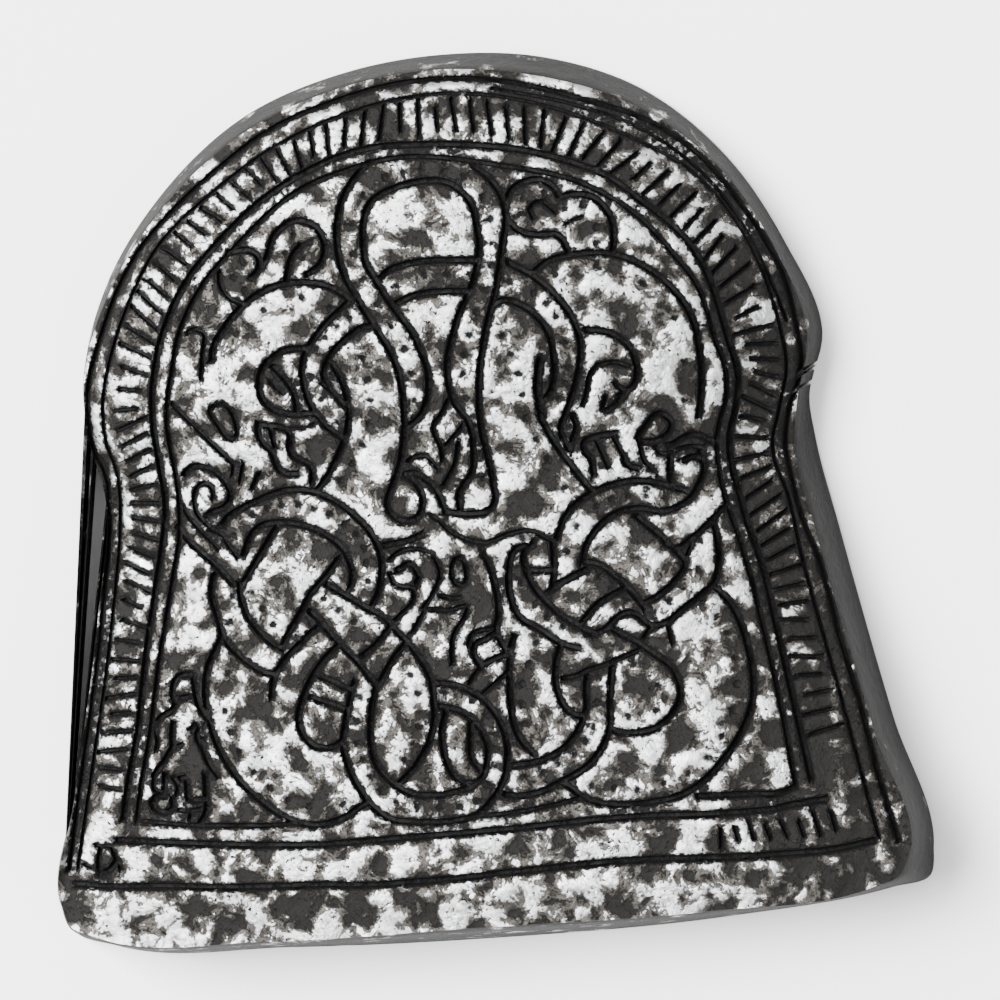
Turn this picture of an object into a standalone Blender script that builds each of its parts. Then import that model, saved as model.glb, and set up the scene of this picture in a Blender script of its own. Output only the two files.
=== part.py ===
"""Souvenir casting of a mushroom-shaped picture stone: one solid piece that lies on its flat back.

The drawing is in millimetres: X runs across the face, Y from the foot up to the top of the arch, and Z from
the flat back up to the carved face. The object is built in metres, centred over the origin.
"""
import bpy
import bmesh
import numpy as np
from mathutils import Vector
from mathutils.geometry import delaunay_2d_cdt

MM = 0.001

# Driving dimensions, in millimetres.
ARCH_EDGE = 3.5          # height of the face's rim round the arch
FOOT_EDGE = 7.5          # the rim's height down at the foot line, so the casting is a wedge
NECK_Y = 33.0            # the edge starts to rise below the neck
FOOT_Y = 4.0             # and reaches FOOT_EDGE here
ARCH_CROWN = 3.3         # how far the middle of the face swells above its edge, in the arch
FOOT_CROWN = 2.0         # and above the foot
CROWN_REACH = 6.0        # the swelling's fall-off distance from the edge
BACK_INSET = 0.12        # the flat back is this much smaller all round than the widest section
GROOVE_DEPTH = 0.4       # depth of a carved line
LINE_WIDTH = 0.6         # width of a carved line
FLANK_SPACING = 1.5      # facet length round the outline
LINE_SPACING = 1.5       # facet length along a carved line
FILL_SPACING = 2.3       # spacing of the points on the open ground between lines
FILL_CLEARANCE = 1.0     # the open ground's points keep this far from any line
RIM_CLEARANCE = 0.12     # a carved line's lip this near the rim is left to the rim itself

# The flank below the rim: share of the way from the rim out to the outline, share of the rim's height.
FLANK_PROFILE = ((0.08, 0.96), (0.22, 0.86), (0.6, 0.47), (1.0, 0.08))

# Stations clockwise from the lower left corner: the outline at its widest, and the face's rim beside it.
STATIONS = (
    ((-30.1, 2.9), (-28.6, 3.4)),
    ((-28.7, 10.7), (-27.5, 10.7)),
    ((-26.3, 22.8), (-25.5, 22.8)),
    ((-25.2, 30.9), (-24.7, 30.9)),
    ((-26.2, 35.3), (-25.7, 35.1)),
    ((-26.4, 39.0), (-25.8, 38.9)),
    ((-24.5, 45.3), (-23.6, 45.0)),
    ((-20.6, 51.0), (-19.8, 50.3)),
    ((-14.2, 56.4), (-13.6, 55.4)),
    ((-7.2, 59.0), (-7.0, 58.0)),
    ((-0.5, 59.9), (-0.5, 58.9)),
    ((6.5, 59.4), (6.3, 58.2)),
    ((13.0, 57.0), (12.5, 56.1)),
    ((18.8, 51.9), (18.4, 51.5)),
    ((22.3, 46.2), (21.8, 46.1)),
    ((24.6, 39.8), (23.8, 39.6)),
    ((23.5, 35.4), (22.9, 35.4)),
    ((23.8, 32.7), (22.6, 32.6)),
    ((25.1, 26.7), (23.8, 26.8)),
    ((28.2, 13.4), (27.2, 13.4)),
    ((30.5, 4.6), (29.2, 4.9)),
    ((30.2, 2.6), (28.6, 3.8)),
    ((27.6, 1.85), (26.8, 3.1)),
    ((16.3, 0.2), (16.0, 2.0)),
    ((0.0, -0.8), (0.0, 1.4)),
    ((-14.0, -1.0), (-14.0, 0.9)),
    ((-26.5, -0.5), (-26.2, 1.4)),
    ((-29.4, 0.6), (-28.1, 2.2)),
)
SIDE_STATIONS = 21       # the first stations, from the left foot over the arch to the right foot

# The larger carving: smooth lines through a few points each.
FRAME_LINES = (
    # the outer line, the band's inner border, and the panel's edge beside it
    ((-27.9, 6.5), (-27.3, 10), (-25.6, 20), (-24.5, 29), (-24.75, 33), (-25.6, 36), (-25.1, 40), (-22.5, 46),
     (-17.1, 51.8), (-12.6, 55.05), (-7, 57.25), (0, 58.3), (6, 57.5), (12, 55.6), (16.3, 53.1), (20, 48.6),
     (22.4, 44), (23.35, 38.5), (22.1, 34), (22.3, 30.5), (25.1, 20), (28.6, 6)),
    ((-24.0, 9.3), (-22.8, 15), (-21.1, 25), (-20.3, 31), (-20.8, 37), (-19.8, 42), (-17.6, 46), (-13.6, 49.9),
     (-9.5, 52.4), (-4.5, 54), (1, 53.9), (7, 52.9), (11, 51.3), (15, 48.1), (17.9, 43.1), (19.2, 38),
     (18.4, 32.8), (19.2, 28.5), (21.1, 20.5), (23.0, 10.5)),
    ((-22.7, 11.5), (-21.1, 20), (-19.3, 29), (-19.8, 37), (-18.7, 42), (-16.5, 45.8), (-12.9, 49.2),
     (-8.9, 51.9), (-4, 53.1), (1, 52.9), (7, 51.7), (11.5, 49.6), (14.9, 46.3), (17, 43.2), (18.4, 37.3),
     (17.5, 32.6), (18.8, 26.4), (20.3, 20), (21.9, 10.2)),
    # two lines across the foot
    ((-24.5, 7.9), (-16, 7.45), (-10, 7.3), (-1, 7.75), (8, 8.35), (17, 8.45), (23.8, 9.1)),
    ((-27.0, 4.95), (-19, 4.7), (-7, 4.5), (5, 5.2), (14, 5.55), (27, 6.15)),
)
SERPENT_LINES = (
    # the tall knot in the middle: left strand, inner loop, right strand
    ((-4.9, 52.9), (-6.8, 50.6), (-7.35, 48.2), (-6.5, 44.6), (-4.7, 41.3), (-3.4, 38), (-3.5, 33.9),
     (-4.6, 30.8), (-4.1, 28.9)),
    ((-3.2, 35), (-1.7, 37), (-1.7, 39.4), (-4, 43.8), (-5.5, 46.6), (-5.1, 50), (-2, 51.4), (1.4, 50.7),
     (2.4, 47.5), (1.1, 43.1), (-0.2, 38.6), (1, 35.2), (0.7, 31.2)),
    ((2.2, 52.3), (3.9, 50.3), (4.2, 48.4), (3.3, 44.2), (2.2, 40), (1.8, 36.2), (2.6, 30.5)),
    # left head: its crown, the arch behind it and the eye ring
    ((-16.4, 40.2), (-15.4, 42.3), (-13, 44.4), (-9.6, 45.2), (-6.6, 43.7)),
    ((-6.6, 43.9), (-9, 41.7), (-10.1, 39.2), (-9.5, 36.4), (-7.7, 34.6)),
    ((-5.2, 42), (-7.5, 40.8), (-8.7, 38.9), (-7.4, 36.9)),
    ((-9.8, 40.7), (-12.5, 40), (-13.2, 38.5), (-12.7, 36.9), (-11, 36.3)),
    # right head: the same three
    ((5.9, 45.1), (8.6, 46.15), (12, 45.75), (14.9, 43.8), (16.6, 41), (16.7, 37.6), (16.4, 35)),
    ((4.2, 45.85), (6.5, 44.35), (8.4, 41.9), (8.8, 38.7), (7.2, 34.6)),
    ((3.1, 43), (5.2, 42.85), (6.8, 40.5), (7, 38), (6.1, 36.3)),
    ((9.2, 41.1), (11.5, 40.4), (12.5, 38.4), (11.2, 36.5)),
    # curls over the heads
    ((-13.3, 45.7), (-12, 47.8), (-10.2, 49.3), (-8.5, 48.1), (-9.2, 46)),
    ((8.4, 46.2), (7.1, 47.6), (4.7, 48.2), (4.6, 50.5), (6.9, 51.1), (9.3, 50.2), (11.2, 48), (11.2, 46.4)),
    # left loop, outer and inner line
    ((-16.1, 29.1), (-13, 30.8), (-9.7, 31), (-6.8, 29.2), (-5.3, 26.5), (-5.8, 23.7)),
    ((-14.9, 26.9), (-13.6, 28.8), (-10.6, 28.8), (-8.1, 27.1), (-7.5, 24.8)),
    # right loop, outer and inner line
    ((6.5, 27.3), (8.3, 29.6), (11, 30.7), (13.5, 30.5)),
    ((8.3, 25.6), (9.5, 27.9), (12, 28.9), (14, 28.7), (16.2, 30.2), (16.4, 32.4)),
    # crossing strands under the loops
    ((-10.2, 23.1), (-8.3, 20.8), (-6, 18), (-6.6, 15), (-5.4, 11.4), (-1.8, 10.4), (0.1, 10.8)),
    ((-12.4, 20.5), (-10.9, 23.1), (-8.3, 26.2)),
    ((-8.6, 20.6), (-10.5, 18.5), (-11.5, 15.6), (-10.4, 13.9), (-8.7, 14.2)),
    ((12, 28.4), (15.1, 25.2), (12.3, 22.7), (9.9, 20.9)),
    ((10.4, 20.8), (13.4, 18.6), (14.5, 16.4), (12.1, 14), (9.9, 14.2)),
    # lower bodies
    ((-16.7, 21.2), (-17.8, 17.6), (-16.6, 13.2), (-13, 9.5), (-9, 8.9), (-6.9, 10.1)),
    ((-6.6, 9.9), (-3.5, 8.65), (0.5, 8.95), (2.6, 12), (1.9, 15.9), (-2, 17.9)),
    ((17, 23.5), (18.7, 20.9), (19.4, 17), (17.4, 12.2), (13.4, 9.6), (9.2, 9.4), (6.3, 11)),
    ((9.9, 18.4), (9.6, 14.6), (6.7, 11.2), (3, 10.2)),
)

STONE_COLOUR = (0.33, 0.31, 0.29, 1.0)


def clear_scene():
    """Removes whatever the file holds already."""
    for item in list(bpy.data.objects):
        bpy.data.objects.remove(item, do_unlink=True)


def smooth_curve(points, counts, closed):
    """A smooth curve through the points, with counts[i] samples from point i to the next one."""
    knots = np.array(points, dtype=float)
    chord = np.roll(knots, -1, axis=0) - knots
    length = np.linalg.norm(chord, axis=1, keepdims=True)
    slope = chord / length
    slope_before = np.roll(slope, 1, axis=0)
    length_before = np.roll(length, 1, axis=0)
    tangent = (slope_before * length + slope * length_before) / (length + length_before)
    if not closed:
        tangent[0] = slope[0]
        tangent[-1] = slope[-2]
    samples = []
    for start, count in enumerate(counts):
        end = (start + 1) % len(knots)
        for t in np.arange(count) / count:
            ease = t * t * (3 - 2 * t)
            leave = t * (1 - t) ** 2 * length[start] * tangent[start]
            arrive = t * t * (t - 1) * length[start] * tangent[end]
            samples.append(knots[start] * (1 - ease) + knots[end] * ease + leave + arrive)
    if not closed:
        samples.append(knots[-1])
    return np.array(samples)


def sample_counts(points, spacing, closed):
    """How many samples each stretch of a curve needs for the spacing."""
    knots = np.array(points, dtype=float)
    chord = np.roll(knots, -1, axis=0) - knots
    stretches = np.linalg.norm(chord, axis=1)
    if not closed:
        stretches = stretches[:-1]
    return [max(1, round(stretch / spacing)) for stretch in stretches]


def edge_rails():
    """The outline and the rim beside it, sampled together so that their points pair up."""
    outline = [station[0] for station in STATIONS]
    rim = [station[1] for station in STATIONS]
    counts = sample_counts(outline, FLANK_SPACING, closed=True)
    return smooth_curve(outline, counts, True), smooth_curve(rim, counts, True)


def side_line():
    """The rim's sides and arch, without the foot, from which the face's swelling is measured."""
    line = [station[1] for station in STATIONS[:SIDE_STATIONS]]
    return smooth_curve(line, sample_counts(line, FLANK_SPACING, closed=False), False)


def distance_to_line(points, line):
    """Each point's distance to the nearest place on a line of straight facets."""
    nearest = np.full(len(points), np.inf)
    for start, end in zip(line[:-1], line[1:]):
        facet = end - start
        along = np.clip((points - start) @ facet / (facet @ facet), 0, 1)
        gap = points - start - along[:, None] * facet
        nearest = np.minimum(nearest, np.hypot(gap[:, 0], gap[:, 1]))
    return nearest


def face_height(points, sides):
    """Height of the uncarved face: an edge that rises to the foot, and a swelling towards the middle."""
    to_foot = np.clip((NECK_Y - points[:, 1]) / (NECK_Y - FOOT_Y), 0, 1)
    edge = ARCH_EDGE + (FOOT_EDGE - ARCH_EDGE) * to_foot
    crown = ARCH_CROWN + (FOOT_CROWN - ARCH_CROWN) * to_foot
    return edge + crown * (1 - np.exp(-distance_to_line(points, sides) / CROWN_REACH))


def carved_lines():
    """Every carved line as a smooth row of points."""
    lines = FRAME_LINES + SERPENT_LINES
    return [smooth_curve(line, sample_counts(line, LINE_SPACING, False), False) for line in lines]


def side_steps(line):
    """Unit steps to the left of a line at each of its points."""
    ahead = np.gradient(line, axis=0)
    ahead /= np.linalg.norm(ahead, axis=1, keepdims=True)
    return np.column_stack((-ahead[:, 1], ahead[:, 0]))


def fill_points(rim, lines):
    """A staggered grid of points on the open ground between the lines."""
    row_height = FILL_SPACING * 0.866
    low = rim.min(axis=0)
    high = rim.max(axis=0)
    rows = []
    for row, y in enumerate(np.arange(low[1], high[1], row_height)):
        shift = FILL_SPACING / 2 * (row % 2)
        rows.extend((x, y) for x in np.arange(low[0] + shift, high[0], FILL_SPACING))
    points = np.array(rows)
    clear = distance_to_line(points, np.vstack((rim, rim[:1]))) > FILL_CLEARANCE
    for line in lines:
        clear &= distance_to_line(points, line) > FILL_CLEARANCE
    return points[clear]


def face_drawing(rim, lines):
    """All points of the face and the edges that its triangles keep."""
    points = [rim]
    edges = [(i, (i + 1) % len(rim)) for i in range(len(rim))]
    closed_rim = np.vstack((rim, rim[:1]))
    for line in lines:
        for side in (-0.5, 0, 0.5):
            strand = line + side * LINE_WIDTH * side_steps(line)
            clear = distance_to_line(strand, closed_rim) > RIM_CLEARANCE
            first = sum(len(part) for part in points)
            for i in range(len(strand) - 1):
                if clear[i] and clear[i + 1]:
                    edges.append((first + i, first + i + 1))
            strand[~clear] = strand[clear][0]
            points.append(strand)
    points.append(fill_points(rim, lines))
    return np.vstack(points), edges


def carve(points, heights, lines):
    """Lowers the points that lie in a carved line."""
    deepest = np.zeros(len(points))
    for line in lines:
        depth = GROOVE_DEPTH * (1 - distance_to_line(points, line) / (LINE_WIDTH / 2))
        deepest = np.maximum(deepest, depth)
    return heights - deepest


def stone_mesh():
    """The closed solid: carved face, rounded flank and flat back."""
    outline, rim = edge_rails()
    sides = side_line()
    rim_height = face_height(rim, sides)
    lines = carved_lines()
    drawn, edges = face_drawing(rim, lines)
    flat, _, triangles, origins, _, _ = delaunay_2d_cdt([Vector(p) for p in drawn], edges, [], 1, 0.04)
    flat = np.array([(p.x, p.y) for p in flat])
    heights = carve(flat, face_height(flat, sides), lines)

    mesh = bmesh.new()
    face_verts = [mesh.verts.new((p[0], p[1], h)) for p, h in zip(flat, heights)]
    for triangle in triangles:
        mesh.faces.new([face_verts[i] for i in triangle])
    ring = [None] * len(rim)
    for vert, sources in zip(face_verts, origins):
        for source in sources:
            if source < len(rim):
                ring[source] = vert
                vert.co.z = rim_height[source]
    for share, height_share in FLANK_PROFILE:
        places = rim + share * (outline - rim)
        ring = next_ring(mesh, ring, places, rim_height * height_share)
    inward = (rim - outline) / np.linalg.norm(rim - outline, axis=1, keepdims=True)
    ring = next_ring(mesh, ring, outline + BACK_INSET * inward, np.zeros(len(rim)))
    mesh.faces.new(ring)
    bmesh.ops.recalc_face_normals(mesh, faces=mesh.faces)
    return mesh


def next_ring(mesh, ring, places, heights):
    """A lower ring of points joined to the one above it by a band of faces."""
    lower = [mesh.verts.new((place[0], place[1], height)) for place, height in zip(places, heights)]
    for i in range(len(ring)):
        j = (i + 1) % len(ring)
        mesh.faces.new((ring[i], ring[j], lower[j], lower[i]))
    return lower


def centre_over_origin(mesh):
    """Moves the drawing so that its box is centred, and turns millimetres into metres."""
    places = np.array([vert.co for vert in mesh.verts])
    middle = (places.min(axis=0) + places.max(axis=0)) / 2
    bmesh.ops.translate(mesh, vec=Vector((-middle[0], -middle[1], 0)), verts=mesh.verts)
    bmesh.ops.scale(mesh, vec=Vector((MM, MM, MM)), verts=mesh.verts)


def white_metal():
    """Antiqued pewter, taken as one middle grey."""
    material = bpy.data.materials.new("antiqued pewter")
    material.use_nodes = True
    shader = material.node_tree.nodes["Principled BSDF"]
    shader.inputs["Base Color"].default_value = STONE_COLOUR
    shader.inputs["Metallic"].default_value = 1.0
    shader.inputs["Roughness"].default_value = 0.4
    return material


def rune_stone():
    """The one casting as an object."""
    solid = stone_mesh()
    centre_over_origin(solid)
    data = bpy.data.meshes.new("rune_stone")
    solid.to_mesh(data)
    solid.free()
    data.materials.append(white_metal())
    stone = bpy.data.objects.new("rune_stone", data)
    bpy.context.scene.collection.objects.link(stone)
    return stone


clear_scene()
rune_stone()
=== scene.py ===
# %% [markdown]
# # A souvenir picture stone in antiqued pewter
# The real thing is one small casting, about six centimetres tall, that copies a mushroom-shaped stone from
# a Baltic island. Serpents twist over its face inside a band of marks. It lies on its flat back. The solid
# model gives its place and size, and this script makes the finely carved surface that covers it.

# %% Load the solid model
import math
import random
import bpy
import bmesh
import numpy as np
from mathutils import Matrix, Vector, noise
from mathutils.geometry import delaunay_2d_cdt


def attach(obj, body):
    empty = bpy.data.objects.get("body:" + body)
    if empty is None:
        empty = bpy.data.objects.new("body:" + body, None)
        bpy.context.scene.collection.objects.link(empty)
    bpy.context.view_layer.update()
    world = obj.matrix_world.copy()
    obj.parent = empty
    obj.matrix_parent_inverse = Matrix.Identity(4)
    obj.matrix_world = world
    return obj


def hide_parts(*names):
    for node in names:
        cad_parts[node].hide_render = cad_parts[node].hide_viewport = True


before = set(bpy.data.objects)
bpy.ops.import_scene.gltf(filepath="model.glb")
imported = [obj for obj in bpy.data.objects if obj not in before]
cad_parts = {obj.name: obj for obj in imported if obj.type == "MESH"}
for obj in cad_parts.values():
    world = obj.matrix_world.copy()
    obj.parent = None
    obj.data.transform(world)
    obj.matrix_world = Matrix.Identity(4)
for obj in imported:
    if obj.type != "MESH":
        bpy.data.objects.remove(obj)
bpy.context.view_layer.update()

MM = 0.001

# %% [markdown]
# ## Smooth lines through a few points
# Every edge and every carved line on the stone is a free curve, so each is drawn through a few points, as
# with a flexible ruler. A Bezier curve object would do too, but the points are needed as numbers here,
# because the face's mesh is built around the lines.

# %% Curve helper
def smooth_curve(points, counts, closed=False):
    """A smooth curve through the points, with counts[i] samples from point i to the next one."""
    knots = np.array(points, dtype=float)
    chord = np.roll(knots, -1, axis=0) - knots
    length = np.maximum(np.linalg.norm(chord, axis=1, keepdims=True), 1e-6)
    slope = chord / length
    slope_before = np.roll(slope, 1, axis=0)
    length_before = np.roll(length, 1, axis=0)
    tangent = (slope_before * length + slope * length_before) / (length + length_before)
    if not closed:
        tangent[0] = slope[0]
        tangent[-1] = slope[-2]
    samples = []
    for start, count in enumerate(counts):
        end = (start + 1) % len(knots)
        for t in np.arange(count) / count:
            ease = t * t * (3 - 2 * t)
            leave = t * (1 - t) ** 2 * length[start] * tangent[start]
            arrive = t * t * (t - 1) * length[start] * tangent[end]
            samples.append(knots[start] * (1 - ease) + knots[end] * ease + leave + arrive)
    if not closed:
        samples.append(knots[-1])
    return np.array(samples)


def sample_counts(points, spacing, closed=False):
    """How many samples each stretch of a curve needs for the spacing."""
    knots = np.array(points, dtype=float)
    stretches = np.linalg.norm(np.roll(knots, -1, axis=0) - knots, axis=1)
    if not closed:
        stretches = stretches[:-1]
    return [max(1, round(stretch / spacing)) for stretch in stretches]


def drawn_line(points, spacing):
    """A smooth open line with points about `spacing` apart. A line that ends where it began is a loop."""
    if points[0] == points[-1]:
        loop = points[:-1]
        samples = smooth_curve(loop, sample_counts(loop, spacing, True), True)
        return np.vstack((samples, samples[:1]))
    return smooth_curve(points, sample_counts(points, spacing))


# %% [markdown]
# ## The outline and the rim
# The drawing is in millimetres, with X across the face and Y up from the foot. Each station pairs a point
# of the outline with a point of the face's rim, so that the flank between them can be lofted.

# %% Outline stations
STATIONS = (
    ((-30.1, 2.9), (-28.6, 3.4)),
    ((-28.7, 10.7), (-27.5, 10.7)),
    ((-26.3, 22.8), (-25.5, 22.8)),
    ((-25.2, 30.9), (-24.7, 30.9)),
    ((-26.2, 35.3), (-25.7, 35.1)),
    ((-26.4, 39.0), (-25.8, 38.9)),
    ((-24.5, 45.3), (-23.6, 45.0)),
    ((-20.6, 51.0), (-19.8, 50.3)),
    ((-14.2, 56.4), (-13.6, 55.4)),
    ((-7.2, 59.0), (-7.0, 58.0)),
    ((-0.5, 59.9), (-0.5, 58.9)),
    ((6.5, 59.4), (6.3, 58.2)),
    ((13.0, 57.0), (12.5, 56.1)),
    ((18.8, 51.9), (18.4, 51.5)),
    ((22.3, 46.2), (21.8, 46.1)),
    ((24.6, 39.8), (23.8, 39.6)),
    ((23.5, 35.4), (22.9, 35.4)),
    ((23.8, 32.7), (22.6, 32.6)),
    ((25.1, 26.7), (23.8, 26.8)),
    ((28.2, 13.4), (27.2, 13.4)),
    ((30.5, 4.6), (29.2, 4.9)),
    ((30.2, 2.6), (28.6, 3.8)),
    ((27.6, 1.85), (26.8, 3.1)),
    ((16.3, 0.2), (16.0, 2.0)),
    ((0.0, -0.8), (0.0, 1.4)),
    ((-14.0, -1.0), (-14.0, 0.9)),
    ((-26.5, -0.5), (-26.2, 1.4)),
    ((-29.4, 0.6), (-28.1, 2.2)),
)
SIDE_STATIONS = 21       # the first stations, from the left foot over the arch to the right foot
EDGE_SPACING = 0.33      # millimetres between the points round the edge
SIDE_SPACING = 1.0       # and along the coarser line that face_height measures from

outline_knots = [station[0] for station in STATIONS]
rim_knots = [station[1] for station in STATIONS]
edge_counts = sample_counts(outline_knots, EDGE_SPACING, True)
OUTLINE = smooth_curve(outline_knots, edge_counts, True)
RIM = smooth_curve(rim_knots, edge_counts, True)
SIDES = drawn_line(rim_knots[:SIDE_STATIONS], SIDE_SPACING)
print("points round the edge:", len(OUTLINE))

# %% [markdown]
# ## The uncarved face
# The casting is a wedge: thin at the arch and thick at the foot. Its face swells a little towards the
# middle, as a hand-dressed stone does. One formula gives the height everywhere, from the distance to the
# rim.

# %% Height of the face
ARCH_EDGE = 3.5          # height of the rim round the arch, in millimetres
FOOT_EDGE = 7.5          # and at the foot
NECK_Y = 33.0            # the edge starts to rise below the neck
FOOT_Y = 4.0             # and reaches FOOT_EDGE here
ARCH_CROWN = 3.3         # how far the middle swells above the edge, in the arch
FOOT_CROWN = 1.99        # and above the foot
CROWN_REACH = 6.0        # the swelling's fall-off distance


def distance_to_line(points, line):
    """Each point's distance to the nearest place on a line of straight facets."""
    nearest = np.full(len(points), np.inf)
    for start, end in zip(line[:-1], line[1:]):
        facet = end - start
        along = np.clip((points - start) @ facet / max(facet @ facet, 1e-9), 0, 1)
        away = points - start - along[:, None] * facet
        nearest = np.minimum(nearest, np.hypot(away[:, 0], away[:, 1]))
    return nearest


def face_height(points):
    """Height of the uncarved face: an edge that rises to the foot, and a swelling towards the middle."""
    to_foot = np.clip((NECK_Y - points[:, 1]) / (NECK_Y - FOOT_Y), 0, 1)
    edge = ARCH_EDGE + (FOOT_EDGE - ARCH_EDGE) * to_foot
    crown = ARCH_CROWN + (FOOT_CROWN - ARCH_CROWN) * to_foot
    return edge + crown * (1 - np.exp(-distance_to_line(points, SIDES) / CROWN_REACH))


# %% [markdown]
# ## The carving
# The serpents are cut as grooves, not as raised bodies: each body is the ground left between two lines.
# So the drawing is a list of lines. Each has a width and the points that a smooth line runs through.
# The groups below go from the frame inwards.

# %% Groove widths in millimetres
BROAD = 0.7
WIDE = 0.52
MIDDLE = 0.4
FINE = 0.28

# %% The frame: border lines, the band's inner border, the panel's edge and the foot lines
FRAME = (
    (MIDDLE, (
        (-28.05, 6), (-24.9, 25), (-24.5, 29), (-24.75, 33), (-25.35, 34.2), (-25.6, 36), (-25.55, 38),
        (-24.35, 42), (-21.15, 48), (-19.2, 50), (-14.9, 53.5), (-12.6, 55.05), (-7, 57.25),
        (-3.5, 58.05), (3, 58.1), (9, 56.6), (14.3, 54.5), (16.3, 53.1), (20, 48.6), (22.4, 44),
        (23.2, 40), (23.35, 38.5), (23.1, 37), (22.5, 35.5), (22, 32.5), (22.3, 30.5), (23, 27.5),
        (23.9, 25), (25.1, 20), (26.4, 15), (27.4, 10.5), (28.6, 6))),
    (FINE, ((3.4, 57.5), (9, 56.1), (13, 54.5), (17.9, 50.5), (21.3, 44.5), (22.5, 41))),
    (FINE, (
        (-27.4, 6), (-24.1, 25), (-23.65, 29), (-23.8, 33), (-24.3, 34.5), (-24.35, 38), (-23.85, 40),
        (-22.3, 44), (-20, 47.9), (-16, 51.4), (-11.5, 54.3), (0, 57.3), (13, 53.6), (16.5, 51.4),
        (22, 41), (22.35, 38), (21.7, 35), (21.2, 33), (21.3, 31.5), (21.85, 30), (22.9, 25),
        (25.3, 15), (27.3, 6.4))),
    (WIDE, (
        (-24, 9.3), (-23.6, 11.5), (-22.8, 15), (-22.05, 20), (-21.1, 25), (-20.25, 31), (-20.5, 33),
        (-20.8, 37), (-17.6, 46), (-15.9, 47.8), (-11.8, 51.2), (-4.5, 53.95), (-2, 54), (9, 52.2),
        (11, 51.3), (13, 49.75), (16.3, 46.6), (18.8, 39.5), (19.15, 38), (18.9, 35.3), (18.45, 33.6),
        (19.15, 28.5), (20.3, 24.5), (21.1, 20.5), (23, 10.5))),
    (MIDDLE, (
        (-23.05, 9.1), (-22.65, 11.4), (-21.9, 14.9), (-21.05, 19.9), (-20, 24.9), (-19.25, 28.9),
        (-19.25, 30.9), (-19.75, 36.9), (-19.25, 39.4), (-18.65, 41.9), (-16.45, 45.7), (-14.85, 47.3),
        (-8.85, 51.8), (-6.45, 52.55), (-3.95, 53.1), (4.05, 52.3), (9.55, 50.8), (13.45, 48.1),
        (14.95, 46.3), (17, 43.2), (17.45, 41.4), (17.85, 39.9), (18.3, 38.5), (18.3, 35.9),
        (17.9, 34.7), (17.55, 33.2), (17.6, 31.7), (19.35, 24.6), (21.25, 14.9), (21.95, 10.2))),
    (MIDDLE, ((-23.1, 9.2), (-18.5, 8.8), (-16, 8.75), (-13.5, 8.7), (-11.5, 8.85))),
    (MIDDLE, ((0.5, 8.9), (2, 8.95), (5.2, 9.35), (7.3, 9.8))),
    (WIDE, ((15.4, 9.65), (19, 9.65), (21, 9.65), (21.9, 10))),
    (WIDE, (
        (-24.5, 7.9), (-13, 7.35), (-10, 7.3), (-7, 7.45), (2, 7.9), (11, 8.45), (17, 8.45),
        (20, 8.55), (22, 8.85), (23.8, 9.05))),
    (WIDE, (
        (-27.6, 4.95), (-25, 4.8), (-22, 4.8), (-16, 4.6), (-10, 4.6), (-7, 4.5), (-4, 4.6),
        (11, 5.55), (20, 5.55), (25, 5.8), (27, 6.15))),
    (MIDDLE, ((-26, 7.6), (-25.6, 7.5), (-24.9, 7.5), (-24.7, 6.9), (-24.4, 6.4), (-24.3, 6))),
    (WIDE, ((-24.6, 6.5), (-25.1, 5.9), (-25.9, 5.6))),
    (MIDDLE, ((-25.7, 7.5), (-25.9, 6.1), (-25.8, 5.5))),
    (FINE, ((-26.9, 6.3), (-26.4, 6.1))),
)

# %% The tall knot in the middle
TOP_KNOT = (
    (WIDE, (
        (-4.9, 53), (-5.6, 52.4), (-6.8, 50.7), (-7, 45.7), (-5.9, 43.5), (-3.65, 39.2), (-3.35, 35.2),
        (-3.75, 32.8), (-4.55, 29.3), (-4.1, 28.9), (-2.9, 28.9), (-2.3, 30.1), (-2.95, 31.5),
        (-3.6, 31.95))),
    (WIDE, (
        (-3.25, 35.05), (-2.65, 35.4), (-1.65, 39.3), (-2.05, 40.4), (-2.65, 41.7), (-3.35, 42.7),
        (-4.65, 44.8), (-5.5, 46.6), (-5.55, 47.8), (-5.15, 50), (-2.05, 51.45), (0.45, 51.3),
        (1.95, 49.8), (2.2, 48.6), (2.35, 47.4), (2, 45.2), (0.55, 42), (-0.25, 38.6), (0.1, 36.7),
        (1.05, 35.2), (1.25, 33), (1.15, 32), (0.65, 31.2), (0.15, 30.5), (0.2, 29.5))),
    (WIDE, (
        (2.2, 52.35), (3, 51.7), (3.95, 50.3), (4.2, 48.4), (4, 47.4), (3.05, 43.1), (2.75, 42.2),
        (1.85, 35), (2.4, 31.6), (2.5, 29.7), (2, 29.2), (1.2, 29.1), (-0.9, 29.25))),
    (WIDE, ((-4.45, 45.25), (-3.85, 45.7), (-2.85, 46), (2.35, 46.1))),
    (WIDE, ((-3.45, 43.45), (-2.65, 43.8), (0.05, 44.1), (1.65, 44))),
)

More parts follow.
